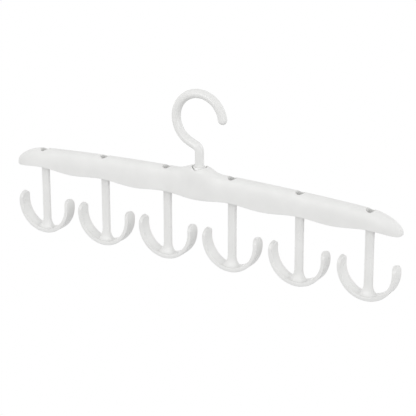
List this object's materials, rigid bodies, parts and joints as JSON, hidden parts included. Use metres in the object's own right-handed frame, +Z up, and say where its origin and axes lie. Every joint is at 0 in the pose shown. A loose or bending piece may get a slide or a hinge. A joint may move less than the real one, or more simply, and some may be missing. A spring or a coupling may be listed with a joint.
{
  "type": "rotating closet hook",
  "caption": "White plastic hanger bar with a turning round hook for a closet rod and a row of turning anchor-shaped double hooks under an arched beam.",
  "frame": {"origin": "the point of the round hook's inner crown that rests on the closet rod", "axes": "+X along the beam towards the open side of the round hook, +Y from the front to the back, +Z up"},
  "size_m": [0.3662, 0.0166, 0.1509],
  "materials": {
    "beam_plastic": "white, satin gloss, moulded",
    "rod_hook_plastic": "white, satin gloss, moulded",
    "double_hook_plastic": "white, satin gloss, moulded",
    "bush_plastic": "white, satin gloss, moulded",
    "zinc_steel": "zinc plated"
  },
  "bodies": {
    "rod_hook": {"swivel_hook": "rod_hook_plastic", "hook_washer": "zinc_steel", "hook_screw": "zinc_steel"},
    "beam": {"beam_shell": "beam_plastic", "swivel_bush": "bush_plastic"},
    "turning_hook_1": {"double_hook_1": "double_hook_plastic", "pivot_washer_1": "zinc_steel", "pivot_screw_1": "zinc_steel"},
    "turning_hook_2": {"double_hook_2": "double_hook_plastic", "pivot_washer_2": "zinc_steel", "pivot_screw_2": "zinc_steel"},
    "turning_hook_3": {"double_hook_3": "double_hook_plastic", "pivot_washer_3": "zinc_steel", "pivot_screw_3": "zinc_steel"},
    "turning_hook_4": {"double_hook_4": "double_hook_plastic", "pivot_washer_4": "zinc_steel", "pivot_screw_4": "zinc_steel"},
    "turning_hook_5": {"double_hook_5": "double_hook_plastic", "pivot_washer_5": "zinc_steel", "pivot_screw_5": "zinc_steel"},
    "turning_hook_6": {"double_hook_6": "double_hook_plastic", "pivot_washer_6": "zinc_steel", "pivot_screw_6": "zinc_steel"}
  },
  "joints": [
    {"name": "hook_swivel", "type": "hinge", "parent": "rod_hook", "child": "beam", "pos_m": [0, 0, -0.07406], "axis": [0, 0, 1], "continuous": true},
    {"name": "double_hook_turn_1", "type": "hinge", "parent": "beam", "child": "turning_hook_1", "pos_m": [-0.155, 0, -0.07806], "axis": [0, 0, 1], "continuous": true},
    {"name": "double_hook_turn_2", "type": "hinge", "parent": "beam", "child": "turning_hook_2", "pos_m": [-0.093, 0, -0.07806], "axis": [0, 0, 1], "continuous": true},
    {"name": "double_hook_turn_3", "type": "hinge", "parent": "beam", "child": "turning_hook_3", "pos_m": [-0.031, 0, -0.07806], "axis": [0, 0, 1], "continuous": true},
    {"name": "double_hook_turn_4", "type": "hinge", "parent": "beam", "child": "turning_hook_4", "pos_m": [0.031, 0, -0.07806], "axis": [0, 0, 1], "continuous": true},
    {"name": "double_hook_turn_5", "type": "hinge", "parent": "beam", "child": "turning_hook_5", "pos_m": [0.093, 0, -0.07806], "axis": [0, 0, 1], "continuous": true},
    {"name": "double_hook_turn_6", "type": "hinge", "parent": "beam", "child": "turning_hook_6", "pos_m": [0.155, 0, -0.07806], "axis": [0, 0, 1], "continuous": true}
  ]
}
